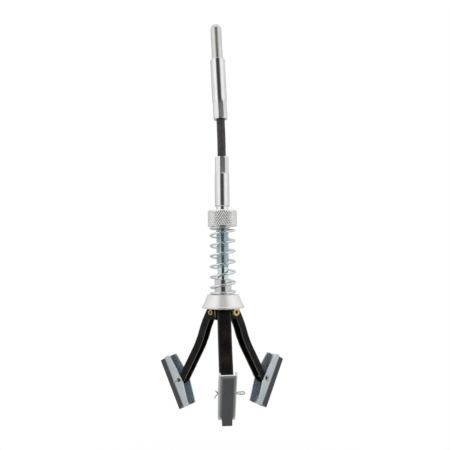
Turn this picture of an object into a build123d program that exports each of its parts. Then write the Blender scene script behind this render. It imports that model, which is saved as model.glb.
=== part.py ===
from build123d import *
import math
import os

# Three-arm cylinder hone on a flexible cable. All lengths in millimetres, all angles in degrees.
# The origin is on the spindle axis, level with the arm pivots. +Z runs up the spindle to the drill end.

# General fits
running_fit = 0.05
cable_fit = 0.03

# Drive end: shank, crimped sleeves and flexible cable
shank_d = 6.0
shank_length = 20.04
shank_tip = 2.0
shank_tail_d = 5.0
shank_seat = 12.0
upper_sleeve_d = 8.05
upper_crimp_d = 7.65
upper_sleeve_length = 33.47
upper_crimp_length = 9.76
lower_sleeve_d = 7.93
lower_crimp_d = 7.5
lower_sleeve_length = 27.03
lower_crimp_length = 9.17
cable_d = 4.65
cable_core_d = 2.8
cable_free = 20.92
cable_seat = 12.0
cable_end_gap = 1.0
cable_bend = 2.4

# Spindle: neck, thread, stem and riveted tail
lower_sleeve_bottom = 56.54
neck_d = 6.54
neck_length = 2.14
tail_d = 5.0
tail_length = 10.0
thread_d = 7.0
thread_pitch = 1.0
thread_depth = 0.54
thread_bottom = 24.0
stem_d = 5.7
rivet_d = 4.0
rivet_head_d = 5.4
rivet_head_height = 0.8

# Tension nut and spring
nut_d = 15.7
nut_height = 8.54
nut_chamfer = 0.5
nut_clearance = 0.1
spring_d = 14.0
spring_wire = 1.2
spring_turns = 6.0
spring_end_turns = 0.75
spring_blend = 0.4
spring_phase = 126.0
spring_gap = 0.02

# Thrust cone
cone_shoulder_z = 9.36
cone_shoulder_d = 16.7
cone_angle = 23.0
cone_boss_d = 9.0
cone_boss_height = 8.09
cone_rim_z = 2.25
cone_lip_height = 1.05
cone_lip = 0.4
cone_pad_d = 12.0

# Hub plate with ears
hub_sheet = 1.0
hub_plate_top = -2.6
hub_plate_reach = 4.0
ear_radius = 2.1
ear_top = 1.55
ear_gap = 0.05

# Arms: U-channels seen in a plane through the spindle axis
pivot_reach = 5.34
arm_width = 7.0
arm_sheet = 0.9
arm_depth = 4.0
arm_corner = 1.1
arm_top_z = 1.65
arm_top_reach = 8.4
arm_bend = 15.0
arm_tilts = (27.5, 17.0, 28.7)
arm_run_heel = 7.72
arm_run_middle = 10.25
arm_run_foot = 24.13
pin_inset = 1.32
heel_reach = 3.0
heel_bottom = -1.8
heel_merge = -3.0
heel_corner = 0.8
arm_tip_past_pin = 3.3
arm_tip_drop = 1.0

# Pivot eyelets
eyelet_tube_d = 1.9
eyelet_bore_d = 1.4
eyelet_head_d = 4.0
eyelet_roll_d = 2.45
eyelet_sheet = 0.25

# Stone holders, cotter pins and stones
holder_length = 28.6
holder_sheet = 0.75
holder_side_gap = 0.05
holder_face = 3.4
holder_end_depth = 3.0
holder_end_corner = 1.2
holder_mid_depth = 5.5
holder_corner = 0.8
holder_stop_gap = 0.05
pin_d = 1.16
pin_hole_d = 1.28
pin_wire_d = 0.62
pin_eye_length = 4.4
pin_eye_width = 2.3
pin_leg_short = 2.0
pin_leg_long = 2.9
pin_leg_spread = 62.0
stone_length = 28.2
stone_width = 4.95
stone_edge = 0.3
stone_shift = 0.2
foot_width = 7.4
foot_edge = 0.3
foot_rise = 1.2
foot_short = 1.7
foot_corner = 1.1

# Stone thickness at the upper and the lower end, worn to a wedge
front_upper = 1.7
front_lower = 4.1
right_upper = 4.5
right_lower = 4.9
left_upper = 4.2
left_lower = 4.3

# The legs: direction round the spindle and lean of the stone holder
legs = {"front": -90.0, "right": 30.0, "left": 150.0}
shoe_leans = {"front": 32.5, "right": 27.0, "left": 25.4}


def turned(profile):
    """Solid of revolution about Z from (radius, height) points."""
    return revolve(Plane.XZ * make_face(Polyline(*profile, close=True)), axis=Axis.Z)


def heading(tilt):
    """Unit vector in the arm plane that goes down and outward, tilted from the vertical."""
    return Vector(math.sin(math.radians(tilt)), -math.cos(math.radians(tilt)))


def outward(tilt):
    """Unit vector in the arm plane, square to heading and pointing away from the spindle."""
    return Vector(math.cos(math.radians(tilt)), math.sin(math.radians(tilt)))


def rounded(width, height, corner):
    """Flat rectangle with rounded corners."""
    return fillet(Rectangle(width, height).vertices(), corner)


def crosswise(radius, length):
    """Cylinder along Y, centred on the origin."""
    return Rot(90, 0, 0) * Cylinder(radius, length)


def around(path, diameter):
    """Round wire that follows a path."""
    return sweep(Plane(origin=path @ 0, z_dir=path % 0) * Circle(diameter / 2), path=path)


def sleeve(body_d, crimp_d, length, crimp_length, bore_d, bore_depth, rod_d, rod_depth):
    """Crimped sleeve with its cable mouth at the origin and its body above."""
    step = (body_d - crimp_d) / 2
    body = turned([
        (0, 0),
        (crimp_d / 2 - 2 * step, 0),
        (crimp_d / 2, 2 * step),
        (crimp_d / 2, crimp_length - step),
        (body_d / 2, crimp_length),
        (body_d / 2, length - step),
        (body_d / 2 - step, length),
        (0, length),
    ])
    mouth = Pos(0, 0, bore_depth / 2) * Cylinder(bore_d / 2, bore_depth)
    socket = Pos(0, 0, length - rod_depth / 2) * Cylinder(rod_d / 2, rod_depth)
    return body - mouth - socket


def cable_path():
    """Wire along the cable, from inside the lower sleeve to inside the upper one."""
    bend = Plane.XZ * RadiusArc((0, sleeve_mouth), bent_end, -bend_radius)
    below = Line((0, 0, sleeve_mouth - cable_seat), (0, 0, sleeve_mouth))
    above = Line(upper_frame.position, (upper_frame * Pos(0, 0, cable_seat)).position)
    return Wire([below, bend.edge(), above])


def spring_path():
    """Right-hand spring with closed ends as one smooth curve."""
    steps = 16
    total = spring_turns + 2 * spring_end_turns
    count = round(total * steps)
    bottom = cone_shoulder_z + spring_wire / 2 + spring_gap
    top = nut_bottom - spring_wire / 2 - spring_gap
    middles = [(index + 0.5) * total / count for index in range(count)]
    near_end = [min(middle, total - middle) - spring_end_turns for middle in middles]
    opening = [min(max(0.5 + distance / spring_blend, 0), 1) for distance in near_end]
    open_rise = (top - bottom - total * spring_wire) / sum(opening)
    radius = (spring_d - spring_wire) / 2
    height = bottom
    points = []
    for index in range(count + 1):
        angle = math.radians(spring_phase) + 2 * math.pi * total * index / count
        points.append((radius * math.cos(angle), radius * math.sin(angle), height))
        if index < count:
            height += total * spring_wire / count + open_rise * opening[index]
    return Spline(*points)


# Values that follow from the sizes above
bent_angle = math.radians(cable_bend)
bend_radius = cable_free / bent_angle
sleeve_mouth = lower_sleeve_bottom + lower_sleeve_length
bent_end = (-bend_radius * (1 - math.cos(bent_angle)), sleeve_mouth + bend_radius * math.sin(bent_angle))
upper_frame = Location((bent_end[0], 0, bent_end[1]), (0, -cable_bend, 0))
nut_top = lower_sleeve_bottom - neck_length
nut_bottom = nut_top - nut_height
hub_bottom = hub_plate_top - hub_sheet
ear_inner = arm_width / 2 + ear_gap
ear_outer = ear_inner + hub_sheet

arm_points = [Vector(arm_top_reach, arm_top_z)]
for tilt, run in zip(arm_tilts, (arm_run_heel, arm_run_middle, arm_run_foot)):
    arm_points.append(arm_points[-1] + heading(tilt) * run)
arm_end = arm_points.pop()
pin_point = arm_end - outward(arm_tilts[2]) * pin_inset
stop_lean = max(shoe_leans.values())
holder_inner = arm_width / 2 + holder_side_gap
holder_outer = holder_inner + holder_sheet

parts = {}

# Drive end
parts["upper_ferrule"] = upper_frame * sleeve(
    upper_sleeve_d, upper_crimp_d, upper_sleeve_length, upper_crimp_length,
    cable_d + 2 * cable_fit, cable_seat + cable_end_gap, shank_tail_d, shank_seat,
)
shank_base = upper_sleeve_length - shank_seat
shank_top = upper_sleeve_length + shank_length
parts["drill_shank"] = upper_frame * turned([
    (0, shank_base),
    (shank_tail_d / 2, shank_base),
    (shank_tail_d / 2, upper_sleeve_length),
    (shank_d / 2, upper_sleeve_length),
    (shank_d / 2, shank_top - shank_tip),
    (shank_d / 2 - shank_tip / 8, shank_top - shank_tip / 3),
    (shank_d / 2 - shank_tip / 3, shank_top),
    (0, shank_top),
])
winding_plane = Plane((0, 0, sleeve_mouth - cable_seat))
core_section = winding_plane * Circle(cable_core_d / 2)
parts["cable_core"] = sweep(core_section, path=cable_path())
winding_section = winding_plane * (Circle(cable_d / 2) - Circle(cable_core_d / 2 + cable_fit))
parts["cable_winding"] = sweep(winding_section, path=cable_path())
parts["lower_ferrule"] = Location((0, 0, sleeve_mouth), (180, 0, 0)) * sleeve(
    lower_sleeve_d, lower_crimp_d, lower_sleeve_length, lower_crimp_length,
    cable_d + 2 * cable_fit, cable_seat + cable_end_gap, tail_d, tail_length,
)

# Spindle with a ridged thread, riveted under the hub plate
ridge_count = round((nut_top - thread_bottom) / thread_pitch)
ridge_pitch = (nut_top - thread_bottom) / ridge_count
crest = thread_d / 2
root = crest - thread_depth
spindle_profile = [
    (0, lower_sleeve_bottom + tail_length),
    (tail_d / 2, lower_sleeve_bottom + tail_length),
    (tail_d / 2, lower_sleeve_bottom),
    (neck_d / 2, lower_sleeve_bottom),
    (neck_d / 2, nut_top),
]
for ridge in range(ridge_count):
    ridge_top = nut_top - ridge * ridge_pitch
    spindle_profile += [
        (root, ridge_top),
        (crest, ridge_top - 0.44 * ridge_pitch),
        (crest, ridge_top - 0.56 * ridge_pitch),
    ]
spindle_profile += [
    (root, thread_bottom),
    (stem_d / 2, thread_bottom),
    (stem_d / 2, hub_plate_top),
    (rivet_d / 2, hub_plate_top),
    (rivet_d / 2, hub_bottom),
    (rivet_head_d / 2, hub_bottom),
    (rivet_head_d / 2, hub_bottom - rivet_head_height / 2),
    (rivet_head_d / 2 - rivet_head_height / 2, hub_bottom - rivet_head_height),
    (0, hub_bottom - rivet_head_height),
]
parts["spindle"] = turned(spindle_profile)

# Tension nut, spring and cone
nut = Pos(0, 0, (nut_top + nut_bottom) / 2) * Cylinder(nut_d / 2, nut_height)
nut = chamfer(nut.edges().filter_by(GeomType.CIRCLE), nut_chamfer)
nut -= Pos(0, 0, (nut_top + nut_bottom) / 2) * Cylinder(crest + nut_clearance, nut_height)
parts["tension_nut"] = nut

coil = spring_path()
coil_start = Plane(origin=coil @ 0, z_dir=coil % 0)
wire_solid = sweep(coil_start * Circle(spring_wire / 2), path=coil, is_frenet=True)
parts["spring"] = wire_solid

cone_run = cone_shoulder_z - cone_rim_z - cone_lip_height
cone_lip_root = cone_shoulder_d / 2 + cone_run * math.tan(math.radians(cone_angle))
cone_pad_z = arm_top_z + ear_gap
cone_bore = stem_d / 2 + running_fit
boss_top = cone_shoulder_z + cone_boss_height
boss_chamfer = (cone_boss_d / 2 - cone_bore) / 4
parts["thrust_cone"] = turned([
    (cone_bore, boss_top),
    (cone_boss_d / 2 - boss_chamfer, boss_top),
    (cone_boss_d / 2, boss_top - boss_chamfer),
    (cone_boss_d / 2, cone_shoulder_z),
    (cone_shoulder_d / 2, cone_shoulder_z),
    (cone_lip_root, cone_shoulder_z - cone_run),
    (cone_lip_root + cone_lip, cone_shoulder_z - cone_run - cone_lip / 2),
    (cone_lip_root + cone_lip, cone_rim_z),
    (cone_pad_d / 2, cone_rim_z),
    (cone_pad_d / 2, cone_pad_z),
    (cone_bore, cone_pad_z),
])

# Hub plate and ears, drawn for a leg that points along +X
ear_outline = Pos(pivot_reach, 0) * Circle(ear_radius)
ear_outline += make_face(Polyline(
    (pivot_reach - ear_radius, 0),
    (pivot_reach + ear_radius, 0),
    (pivot_reach + ear_radius / 2, hub_bottom),
    (hub_plate_reach / 2, hub_bottom),
    close=True,
))
ear_outline &= Pos(pivot_reach, (hub_bottom + ear_top) / 2) * Rectangle(4 * ear_radius, ear_top - hub_bottom)
ear = extrude(Plane.XZ.offset(ear_inner) * ear_outline, hub_sheet)
plate = Pos(hub_plate_reach / 2, 0, hub_bottom + hub_sheet / 2) * Box(hub_plate_reach, 2 * ear_outer, hub_sheet)
hub_leg = plate + ear + mirror(ear, Plane.XZ)
hub = Part() + [Rot(0, 0, azimuth) * hub_leg for azimuth in legs.values()]
hub -= Pos(0, 0, hub_plate_top) * Cylinder(rivet_d / 2, 4 * hub_sheet)
for azimuth in legs.values():
    pivot_bore = Pos(pivot_reach, 0, 0) * Rot(90, 0, 0) * Cylinder(eyelet_tube_d / 2, 4 * ear_outer)
    hub -= Rot(0, 0, azimuth) * pivot_bore
parts["hub"] = hub

# Arm channel: a U section swept down the bent web, trimmed to its side outline
section = rounded(4 * arm_depth, arm_width, arm_corner)
section -= rounded(4 * arm_depth - 2 * arm_sheet, arm_width - 2 * arm_sheet, arm_corner - arm_sheet)
section = Pos(-2 * arm_depth, 0) * section & Pos(-arm_depth, 0) * Rectangle(2 * arm_depth, 2 * arm_width)
first_down = heading(arm_tilts[0])
first_out = outward(arm_tilts[0])
lead_point = arm_points[0] - first_down * arm_depth
web_points = [lead_point, *arm_points[1:], arm_end + heading(arm_tilts[2]) * arm_depth]
web_line = FilletPolyline(*[(point.X, 0, point.Y) for point in web_points], radius=arm_bend)
web_start = Plane(
    origin=(lead_point.X, 0, lead_point.Y),
    x_dir=(first_out.X, 0, first_out.Y),
    z_dir=(first_down.X, 0, first_down.Y),
)
channel = sweep(web_start * section, path=web_line)

top_in = arm_points[0] - first_out * arm_depth
merge_run = (top_in.Y - heel_merge) / math.cos(math.radians(arm_tilts[0]))
merge_point = top_in + first_down * merge_run
inner_bends = []
for point, upper, lower in zip(arm_points[1:], arm_tilts, arm_tilts[1:]):
    both = outward(upper) + outward(lower)
    inner_bends.append(point - both * arm_depth / (1 + outward(upper).dot(outward(lower))))
down = heading(arm_tilts[2])
across = outward(arm_tilts[2])
flange_end = pin_point - across * (arm_depth - pin_inset)
tip_point = pin_point + down * arm_tip_past_pin - across * arm_tip_drop
tip_outside = pin_point + down * arm_tip_past_pin + across * 2 * arm_depth
outline_points = [
    Vector(heel_reach, arm_top_z),
    Vector(heel_reach, heel_bottom),
    merge_point,
    *inner_bends,
    flange_end,
    tip_point,
    tip_outside,
    Vector(tip_outside.X, arm_top_z),
]
outline = make_face(Polyline(*[(point.X, point.Y) for point in outline_points], close=True))
outline = fillet(outline.vertices().sort_by(Axis.X)[:2], heel_corner)
for bend, radius in zip(inner_bends, (arm_bend - arm_depth, arm_bend + arm_depth)):
    outline = fillet(outline.vertices().sort_by_distance((bend.X, bend.Y))[:1], radius)
arm = channel & extrude(Plane.XZ * outline, arm_width, both=True)
stop_place = Location((pin_point.X, 0, pin_point.Y), (0, stop_lean, 0))
stop_reach = holder_face - holder_sheet - holder_stop_gap
shoe_space = Box(holder_length, 2 * arm_width, 2 * holder_length)
arm -= stop_place * Pos(stop_reach + holder_length / 2, 0, 0) * shoe_space
arm -= Pos(pivot_reach, 0, 0) * crosswise(eyelet_tube_d / 2 + running_fit, 2 * arm_width)
arm -= Pos(pin_point.X, 0, pin_point.Y) * crosswise(pin_hole_d / 2, 2 * arm_width)

# Pivot eyelet with its flat head on one side and its rolled end on the other
eyelet = Pos(pivot_reach, 0, 0) * Rot(-90, 0, 0) * turned([
    (eyelet_bore_d / 2, -ear_outer - eyelet_sheet),
    (eyelet_head_d / 2, -ear_outer - eyelet_sheet),
    (eyelet_head_d / 2, -ear_outer),
    (eyelet_tube_d / 2, -ear_outer),
    (eyelet_tube_d / 2, ear_outer),
    (eyelet_roll_d / 2, ear_outer),
    (eyelet_roll_d / 2, ear_outer + eyelet_sheet),
    (eyelet_bore_d / 2, ear_outer + eyelet_sheet),
])

# Stone holder, drawn around its pin with X square to the stone face and Z along the stone
holder_outline = make_face(Polyline(
    (holder_face, -holder_length / 2),
    (holder_face, holder_length / 2),
    (holder_face - holder_end_depth, holder_length / 2),
    (holder_face - holder_mid_depth, 0),
    (holder_face - holder_end_depth, -holder_length / 2),
    close=True,
))
holder_outline = fillet(holder_outline.vertices().sort_by(Axis.X)[1:3], holder_end_corner)
holder = extrude(Plane.XZ * holder_outline, holder_outer, both=True)
face_edges = holder.edges().filter_by(Axis.Z).group_by(Axis.X)[-1]
holder = fillet(face_edges, holder_corner)
trough_depth = 2 * holder_mid_depth
trough_centre = holder_face - holder_sheet - trough_depth / 2
holder -= Pos(trough_centre, 0, 0) * Box(trough_depth, 2 * holder_inner, 2 * holder_length)
holder -= crosswise(pin_hole_d / 2, 4 * holder_outer)

# Resin foot that bonds the stone, with round upper corners and a short lower end
foot_half = foot_width / 2
stone_half = stone_width / 2
foot_section = make_face(Polyline(
    (holder_face, -foot_half),
    (holder_face + foot_edge, -foot_half),
    (holder_face + foot_rise, -stone_half),
    (holder_face + foot_rise, stone_half),
    (holder_face + foot_edge, foot_half),
    (holder_face, foot_half),
    close=True,
))
foot_length = stone_length - foot_short
foot_plan = Pos(0, foot_short / 2) * Rectangle(foot_width, foot_length)
foot_plan = fillet(foot_plan.vertices().group_by(Axis.Y)[-1], foot_corner)
foot_plan = chamfer(foot_plan.vertices().group_by(Axis.Y)[0], foot_half - stone_half)
foot = extrude(foot_section, stone_length, both=True)
foot &= extrude(Plane.YZ * foot_plan, 4 * holder_face, both=True)


def stone(upper, lower):
    """Stone on its foot, with its thickness at the upper and lower end."""
    side = make_face(Polyline(
        (holder_face, -stone_length / 2),
        (holder_face + lower, -stone_length / 2),
        (holder_face + upper, stone_length / 2),
        (holder_face, stone_length / 2),
        close=True,
    ))
    bar = extrude(Plane.XZ * side, stone_half, both=True)
    face = bar.faces().sort_by(Axis.X)[-1]
    bar = chamfer(face.edges(), stone_edge)
    return Pos(0, 0, -stone_shift) * (bar + foot)


# Split pin: shank, eye and two bent legs
eye_near = holder_outer + 3 * running_fit
eye_middle = eye_near + pin_eye_length / 2
eye_face = Plane.YZ * Pos(eye_middle, 0) * SlotOverall(pin_eye_length - pin_wire_d, pin_eye_width - pin_wire_d)
leg_turn = -holder_outer - 0.7 * pin_wire_d
shank_ends = (leg_turn, eye_near + pin_wire_d / 2)
pin = Pos(0, sum(shank_ends) / 2, 0) * crosswise(pin_d / 2, shank_ends[1] - shank_ends[0])
pin += around(eye_face.face().outer_wire(), pin_wire_d)
for side, length in ((1, pin_leg_short), (-1, pin_leg_long)):
    half = side * pin_wire_d / 2
    spread = math.radians(pin_leg_spread)
    pin += around(FilletPolyline(
        (0, leg_turn + 2 * pin_wire_d, half),
        (0, leg_turn, half),
        (0, leg_turn - length * math.cos(spread), half + side * length * math.sin(spread)),
        radius=0.75 * pin_wire_d,
    ), pin_wire_d)

# The three legs differ only in how their holders lean and their stones are worn
worn = {
    "front": stone(front_upper, front_lower),
    "right": stone(right_upper, right_lower),
    "left": stone(left_upper, left_lower),
}
for name, azimuth in legs.items():
    turn = Rot(0, 0, azimuth)
    shoe_place = turn * Location((pin_point.X, 0, pin_point.Y), (0, shoe_leans[name], 0))
    parts[f"arm_{name}"] = turn * arm
    parts[f"pivot_eyelet_{name}"] = turn * eyelet
    parts[f"cotter_pin_{name}"] = shoe_place * pin
    parts[f"stone_holder_{name}"] = shoe_place * holder
    parts[f"stone_{name}"] = shoe_place * worn[name]

os.makedirs("parts", exist_ok=True)
for name, shape in parts.items():
    export_step(shape, f"parts/{name}.step")
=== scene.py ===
"""Dressed model of a three-arm cylinder hone on a flexible cable.

Size fields are in millimetres and degrees. Meshes are made in metres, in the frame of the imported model.
"""
import logging
import math
from contextlib import contextmanager
from dataclasses import dataclass
from enum import Enum
from typing import Callable, Iterator, Optional, Sequence, Union

import bmesh
import bpy
import numpy as np
from mathutils import Matrix, Vector


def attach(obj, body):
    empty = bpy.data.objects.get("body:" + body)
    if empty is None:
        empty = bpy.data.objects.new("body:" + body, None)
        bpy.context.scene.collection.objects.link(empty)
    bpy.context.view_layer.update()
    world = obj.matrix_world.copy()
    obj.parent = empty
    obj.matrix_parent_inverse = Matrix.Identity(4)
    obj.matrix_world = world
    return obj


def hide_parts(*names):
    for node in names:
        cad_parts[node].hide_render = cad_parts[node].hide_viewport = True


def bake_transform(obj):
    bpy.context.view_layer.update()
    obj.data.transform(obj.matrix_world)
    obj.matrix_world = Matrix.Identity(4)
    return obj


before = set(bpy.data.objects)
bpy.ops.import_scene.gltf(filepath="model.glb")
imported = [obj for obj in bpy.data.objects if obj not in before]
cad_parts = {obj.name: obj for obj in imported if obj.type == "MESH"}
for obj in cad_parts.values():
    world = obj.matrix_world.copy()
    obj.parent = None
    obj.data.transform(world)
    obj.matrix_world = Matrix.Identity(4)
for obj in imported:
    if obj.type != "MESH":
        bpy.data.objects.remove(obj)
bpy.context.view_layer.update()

MM = 0.001
TURN = 2 * math.pi
WHITE = (1.0, 1.0, 1.0)
LOG = logging.getLogger("hone")

# Edges with a larger angle than SHARP are shaded sharp, and those of the CAD above EASED get a soft edge.
SHARP = math.radians(32)
EASED = math.radians(38)
# CAD faces that differ by less than this angle are one face.
ONE_FACE = math.radians(0.6)
# Points nearer than SAME_PLACE are merged, and edges shorter than NO_LENGTH removed, both in metres.
SAME_PLACE = 1e-7
NO_LENGTH = 1e-8
# A rounded corner takes at most CORNER_SHARE of each straight piece beside it. CORNER_LEAD places one more
# point on the straight, as a share of the curve's reach, which keeps the shading flat there.
CORNER_SHARE = 0.45
CORNER_LEAD = 0.1

Value = Union[float, "Link"]
Point = tuple[float, ...]


class Link:
    """A node socket that takes part in Python arithmetic."""

    def __init__(self, graph: "Graph", socket: bpy.types.NodeSocket) -> None:
        """Wraps one output socket of a graph."""
        self.graph = graph
        self.socket = socket

    def math(self, operation: str, *values: Value) -> "Link":
        """Adds a Math node.

        Args:
            operation: Blender's name of the operation.
            values: the operands, in order.

        Returns:
            The node's result.
        """
        return self.graph.node("ShaderNodeMath", {"operation": operation}, dict(enumerate(values)))

    def __add__(self, other: Value) -> "Link":
        """Sum."""
        return self.math("ADD", self, other)

    def __radd__(self, other: Value) -> "Link":
        """Reflected sum."""
        return self.math("ADD", other, self)

    def __sub__(self, other: Value) -> "Link":
        """Difference."""
        return self.math("SUBTRACT", self, other)

    def __rsub__(self, other: Value) -> "Link":
        """Reflected difference."""
        return self.math("SUBTRACT", other, self)

    def __mul__(self, other: Value) -> "Link":
        """Product."""
        return self.math("MULTIPLY", self, other)

    def __rmul__(self, other: Value) -> "Link":
        """Reflected product."""
        return self.math("MULTIPLY", other, self)

    def __truediv__(self, other: Value) -> "Link":
        """Quotient."""
        return self.math("DIVIDE", self, other)

    def __pow__(self, other: Value) -> "Link":
        """Power."""
        return self.math("POWER", self, other)

    def __abs__(self) -> "Link":
        """Absolute value."""
        return self.math("ABSOLUTE", self)

    def sine(self) -> "Link":
        """Sine of an angle in radians."""
        return self.math("SINE", self)

    def cosine(self) -> "Link":
        """Cosine of an angle in radians."""
        return self.math("COSINE", self)

    def between(self, low: float, high: float) -> "Link":
        """Smooth step.

        Args:
            low: the value that gives 0.
            high: the value that gives 1.

        Returns:
            A number from 0 to 1.
        """
        return self.graph.node(
            "ShaderNodeMapRange",
            {"interpolation_type": "SMOOTHSTEP"},
            {"Value": self, "From Min": low, "From Max": high},
        )

    def ripple(self) -> "Link":
        """Triangle wave of period 1 that goes from 0 to 1 and back."""
        return self.math("PINGPONG", self, 0.5) * 2.0


class Graph:
    """A node tree that is filled from Python."""

    def __init__(self, tree: bpy.types.NodeTree) -> None:
        """Empties a tree and takes it over."""
        self.tree = tree
        tree.nodes.clear()

    def raw(self, kind: str, settings: dict, inputs: dict) -> bpy.types.Node:
        """Adds any node.

        Args:
            kind: the node's type.
            settings: properties, set before the sockets.
            inputs: socket name or number to a value or a Link.

        Returns:
            The new node.
        """
        made = self.tree.nodes.new(kind)
        for key, value in settings.items():
            setattr(made, key, value)
        for key, value in inputs.items():
            if isinstance(value, Link):
                self.tree.links.new(value.socket, made.inputs[key])
            else:
                made.inputs[key].default_value = value
        return made

    def node(self, kind: str, settings: dict, inputs: dict, output: Union[int, str] = 0) -> Link:
        """Adds any node and gives one of its outputs.

        Args:
            kind: the node's type.
            settings: properties, set before the sockets.
            inputs: socket name or number to a value or a Link.
            output: name or number of the output that is wanted.

        Returns:
            That output as a Link.
        """
        return Link(self, self.raw(kind, settings, inputs).outputs[output])

    def blend(self, factor: Value, first: Union[Link, Point], second: Union[Link, Point]) -> Link:
        """Mixes two colours.

        Args:
            factor: 0 gives the first and 1 the second.
            first: a colour or a Link to one.
            second: a colour or a Link to one.

        Returns:
            The mixed colour.
        """
        start, end = ((*c, 1.0) if not isinstance(c, Link) else c for c in (first, second))
        return self.node("ShaderNodeMix", {"data_type": "RGBA"}, {0: factor, 6: start, 7: end}, 2)

    def split(self, vector: Link) -> list[Link]:
        """The X, Y and Z parts of a vector."""
        parts = self.raw("ShaderNodeSeparateXYZ", {}, {0: vector})
        return [Link(self, socket) for socket in parts.outputs]

    def rays(self) -> list[Link]:
        """Two numbers: 1 for rays from the camera, and 1 for rays that polished metal reflects."""
        kinds = self.raw("ShaderNodeLightPath", {}, {})
        return [Link(self, kinds.outputs[name]) for name in ("Is Camera Ray", "Is Glossy Ray")]


class ShaderGraph(Graph):
    """The node tree of one material."""

    def __init__(self, name: str) -> None:
        """Makes a material of that name."""
        self.material = bpy.data.materials.new(name)
        self.material.use_nodes = True
        super().__init__(self.material.node_tree)
        self.place = self.node("ShaderNodeTexCoord", {}, {}, "Object")

    def noise(self, scale: float, detail: float = 3.0, stretch: Point = (1.0, 1.0, 1.0)) -> Link:
        """Noise on the object's own coordinates.

        Args:
            scale: features per metre.
            detail: octaves.
            stretch: factor along each axis.

        Returns:
            A number near 0.5.
        """
        where = self.node("ShaderNodeMapping", {}, {"Vector": self.place, "Scale": stretch})
        return self.node("ShaderNodeTexNoise", {}, {"Vector": where, "Scale": scale, "Detail": detail})

    def axes(self) -> list[Link]:
        """The object's X, Y and Z coordinates, in metres."""
        return self.split(self.place)

    def attribute(self, name: str, output: str = "Fac") -> Link:
        """What the mesh stores under a name, as a number or as a vector."""
        return self.node("ShaderNodeAttribute", {"attribute_name": name}, {}, output)

    def bump(self, height: Link, strength: float, distance: float) -> Link:
        """Turns a height into a normal.

        Args:
            height: the height, from 0 to 1.
            strength: how much of it is used.
            distance: the height of 1, in metres.

        Returns:
            The normal.
        """
        inputs = {"Height": height, "Strength": strength, "Distance": distance}
        return self.node("ShaderNodeBump", {}, inputs)

    def surface(self, **sockets: object) -> bpy.types.Material:
        """Closes the tree with a Principled shader.

        Args:
            sockets: socket names, with underscores for spaces, and their values or Links.

        Returns:
            The finished material.
        """
        inputs = {name.replace("_", " "): value for name, value in sockets.items()}
        shader = self.node("ShaderNodeBsdfPrincipled", {}, inputs)
        self.raw("ShaderNodeOutputMaterial", {}, {"Surface": shader})
        return self.material


def shown(name: str, data: bpy.types.ID) -> bpy.types.Object:
    """Puts a mesh, a lamp or a camera into the scene."""
    made = bpy.data.objects.new(name, data)
    bpy.context.scene.collection.objects.link(made)
    return made


class GeometryRule(Graph):
    """A Geometry Nodes tree with named inputs that ends in one dressed mesh."""

    def __init__(self, name: str, sizes: dict[str, Union[int, float]]) -> None:
        """Makes the tree and its inputs.

        Args:
            name: the tree's name.
            sizes: input names and their values; whole numbers make integer inputs.
        """
        tree = bpy.data.node_groups.new(name, "GeometryNodeTree")
        super().__init__(tree)
        self.sizes = sizes
        self.sockets = {}
        tree.interface.new_socket(name="Geometry", in_out="OUTPUT", socket_type="NodeSocketGeometry")
        for label, value in sizes.items():
            kind = "NodeSocketInt" if isinstance(value, int) else "NodeSocketFloat"
            self.sockets[label] = tree.interface.new_socket(name=label, in_out="INPUT", socket_type=kind)
        self.entry = tree.nodes.new("NodeGroupInput")

    def size(self, label: str) -> Link:
        """One of the tree's inputs."""
        return Link(self, self.entry.outputs[label])

    def vector(self, x: Value, y: Value, z: Value) -> Link:
        """A vector from three numbers."""
        return self.node("ShaderNodeCombineXYZ", {}, {0: x, 1: y, 2: z})

    def polar(self, radius: Link, angle: Link, height: Link) -> Link:
        """A place from its radius, its angle in radians and its height."""
        return self.vector(angle.cosine() * radius, angle.sine() * radius, height)

    def sheet(self) -> tuple[Link, Link, Link]:
        """A flat grid with the tree's numbers of columns and rows.

        Returns:
            The grid, and how far along its width and its height each point is, from 0 to 1.
        """
        grid = self.node("GeometryNodeMeshGrid", {}, {
            "Size X": 1.0, "Size Y": 1.0,
            "Vertices X": self.size("Columns"), "Vertices Y": self.size("Rows"),
        })
        around, up, _ = self.split(self.node("GeometryNodeInputPosition", {}, {}))
        return grid, around + 0.5, up + 0.5

    def rolled(self, sheet: Link, around: Link, radius: Link, height: Link) -> Link:
        """Rolls a flat grid round Z and joins its two sides.

        Args:
            sheet: the grid.
            around: share of a turn, for each point.
            radius: radius, for each point.
            height: height, for each point.

        Returns:
            The closed skin.
        """
        spot = self.polar(radius, around * TURN, height)
        skin = self.node("GeometryNodeSetPosition", {}, {"Geometry": sheet, "Position": spot})
        return self.node("GeometryNodeMergeByDistance", {}, {"Geometry": skin, "Distance": SAME_PLACE})

    def made(self, geometry: Link, finish: bpy.types.Material) -> bpy.types.Mesh:
        """Ends the tree, runs it and returns a plain smooth mesh.

        Args:
            geometry: what the tree has built.
            finish: the material of the whole mesh.

        Returns:
            The mesh, with no modifier left.
        """
        smooth = self.node("GeometryNodeSetShadeSmooth", {}, {0: geometry})
        real = self.node("GeometryNodeRealizeInstances", {}, {0: smooth})
        dressed = self.node("GeometryNodeSetMaterial", {}, {"Geometry": real, "Material": finish})
        self.raw("NodeGroupOutput", {}, {0: dressed})
        carrier = shown(self.tree.name, bpy.data.meshes.new(self.tree.name))
        modifier = carrier.modifiers.new("rule", "NODES")
        modifier.node_group = self.tree
        for label, value in self.sizes.items():
            modifier[self.sockets[label].identifier] = value
        graph = bpy.context.evaluated_depsgraph_get()
        mesh = bpy.data.meshes.new_from_object(carrier.evaluated_get(graph), depsgraph=graph)
        carrier.modifiers.clear()
        bpy.data.objects.remove(carrier)
        return mesh


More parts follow.
